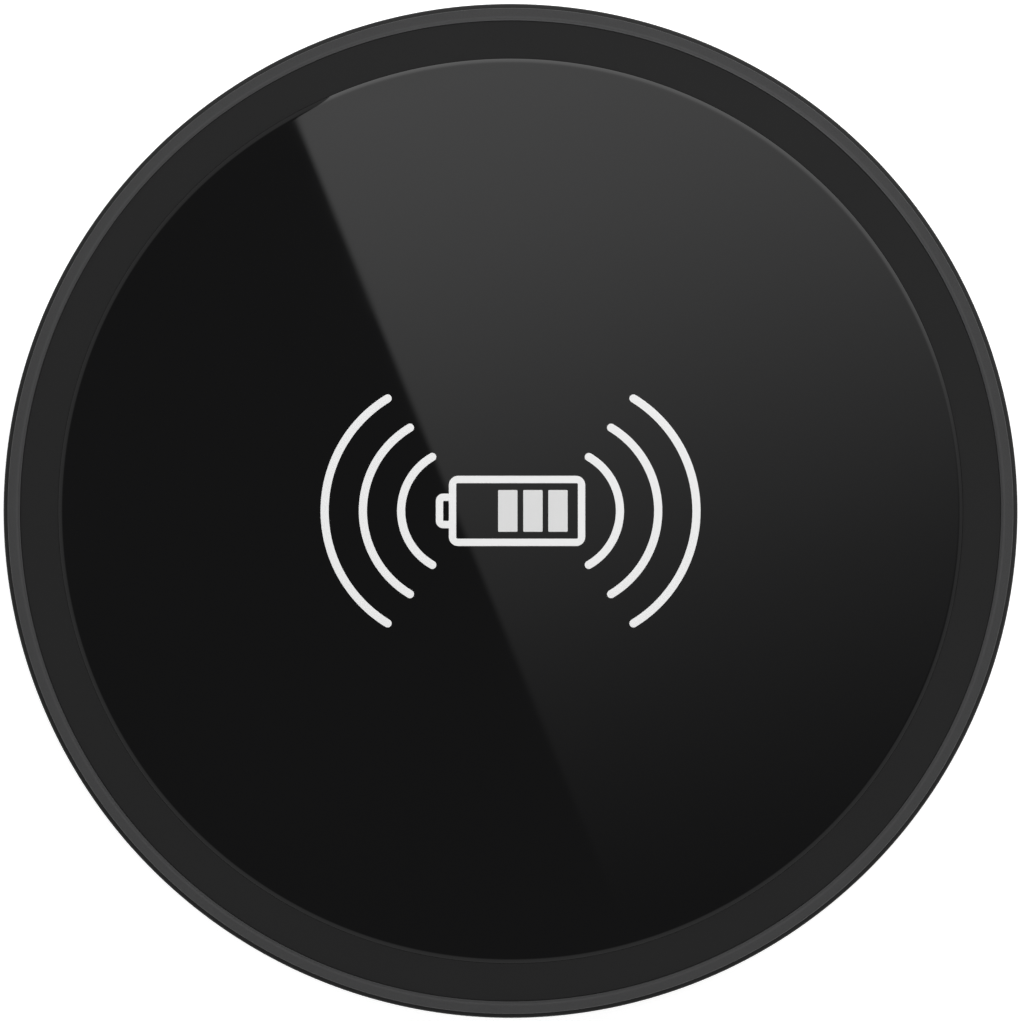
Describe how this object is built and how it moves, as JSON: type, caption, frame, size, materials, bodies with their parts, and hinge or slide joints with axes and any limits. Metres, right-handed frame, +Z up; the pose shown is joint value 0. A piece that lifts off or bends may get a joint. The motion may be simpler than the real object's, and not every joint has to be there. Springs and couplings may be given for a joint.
{
  "type": "wireless charging pad",
  "caption": "Round flat wireless charging pad: black glass top with a white charging symbol, matte bezel, metal trim ring, rubber foot ring and rear USB-C inlet.",
  "frame": {"origin": "on the table under the centre of the pad, at the underside of the foot ring", "axes": "+Z up through the glass, +Y towards the rear with the USB-C inlet, -Y towards the front with the status light, +X to the right; the printed symbol reads upright from the front"},
  "size_m": [0.1, 0.1, 0.01],
  "materials": {
    "black_glass": "polished, back-printed opaque black",
    "white_ink": "opaque white screen-printed ink",
    "grey_ink": "light grey screen-printed ink",
    "adhesive": "pressure-sensitive adhesive film",
    "bezel": "fine matte black polycarbonate",
    "anodised_trim": "bead-blasted, black anodised",
    "case": "fine-textured matte black polycarbonate",
    "foot": "matte black silicone rubber",
    "label": "blank matte black polyester label",
    "black_steel": "black zinc-plated steel",
    "light_pipe": "frosted clear acrylic",
    "board": "green solder mask on glass-fibre epoxy",
    "zinc_steel": "zinc-plated steel",
    "usb_steel": "nickel-plated stainless steel",
    "usb_plastic": "black glass-filled nylon",
    "gold": "gold-plated copper alloy",
    "chip_epoxy": "black epoxy moulding with tinned leads",
    "film_capacitor": "ceramic chip with tinned end caps",
    "ferrite": "sintered dark grey ferrite",
    "copper": "enamelled copper wire",
    "litz": "twisted strands of enamelled copper",
    "resistor": "black glaze on alumina with tinned end caps",
    "crystal_can": "nickel-plated lid",
    "led": "white package with a clear lens",
    "amber_film": "amber polyimide film",
    "gap_pad": "soft blue-grey silicone",
    "bead": "dark epoxy bead",
    "solder": "bright solder"
  },
  "bodies": {
    "root": {"glass_panel": "black_glass", "battery_outline": "white_ink", "charge_bars": "grey_ink", "signal_arcs": "white_ink", "glass_adhesive": "adhesive", "top_shell": "bezel", "trim_ring": "anodised_trim", "lower_shell": "case", "foot_ring": "foot", "foot_adhesive": "adhesive", "rating_label": "label", "case_screws": "black_steel", "light_pipe": "light_pipe", "circuit_board": "board", "board_screws": "zinc_steel", "usb_shell": "usb_steel", "usb_tongue": "usb_plastic", "usb_contacts": "gold", "controller_chip": "chip_epoxy", "protocol_chip": "chip_epoxy", "power_transistors": "chip_epoxy", "resonant_capacitors": "film_capacitor", "inductor_core": "ferrite", "inductor_winding": "copper", "input_capacitors": "film_capacitor", "chip_resistors": "resistor", "chip_capacitors": "film_capacitor", "current_shunt": "resistor", "voltage_regulator": "chip_epoxy", "crystal": "crystal_can", "status_leds": "led", "ferrite_adhesive": "adhesive", "ferrite_disc": "ferrite", "coil_adhesive": "adhesive", "transmitter_coil": "litz", "lead_tape": "amber_film", "gap_pad": "gap_pad", "thermistor_bead": "bead", "thermistor_leads": "zinc_steel", "solder_joints": "solder"}
  },
  "joints": []
}
